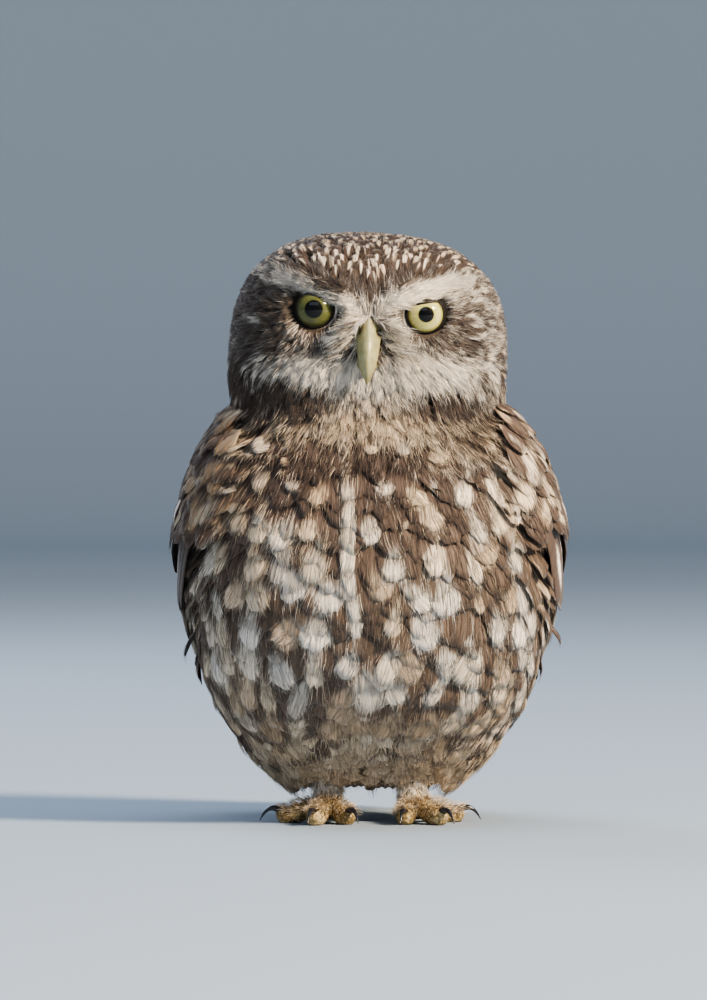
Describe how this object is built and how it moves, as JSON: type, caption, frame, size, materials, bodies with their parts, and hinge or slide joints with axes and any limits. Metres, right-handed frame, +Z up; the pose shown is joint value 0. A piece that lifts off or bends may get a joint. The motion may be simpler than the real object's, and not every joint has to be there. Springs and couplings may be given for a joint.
{
  "type": "little owl model",
  "caption": "Still, life-size model of a little owl standing upright on its own feet, facing forward, wings folded along its sides and tail behind.",
  "frame": {"origin": "on the floor, under the middle of the owl's bounding box", "axes": "+Z up; the owl looks along -Y, and its left side is at +X"},
  "size_m": [0.1168, 0.1276, 0.1709],
  "materials": {
    "underparts_plumage": "soft buff and cream body feathers with brown streaks",
    "upperparts_plumage": "soft brown feathers with rounded cream spots",
    "leg_feathering": "short cream-white feathers",
    "horn_bill": "satin pale greenish-yellow horn",
    "eye": "wet glossy cornea over a lemon-yellow iris",
    "toe_skin": "rough buff-brown toe skin with bristle feathers",
    "claw_horn": "polished blue-black horn"
  },
  "bodies": {
    "root": {"torso": "underparts_plumage", "neck": "upperparts_plumage", "head": "upperparts_plumage", "bill_upper": "horn_bill", "bill_lower": "horn_bill", "tail": "upperparts_plumage", "eye_right": "eye", "eye_left": "eye", "wing_right": "upperparts_plumage", "wing_left": "upperparts_plumage", "leg_right": "leg_feathering", "leg_left": "leg_feathering", "foot_right": "toe_skin", "foot_left": "toe_skin", "claw_right_inner": "claw_horn", "claw_right_middle": "claw_horn", "claw_right_outer": "claw_horn", "claw_right_hind": "claw_horn", "claw_left_inner": "claw_horn", "claw_left_middle": "claw_horn", "claw_left_outer": "claw_horn", "claw_left_hind": "claw_horn"}
  },
  "joints": []
}
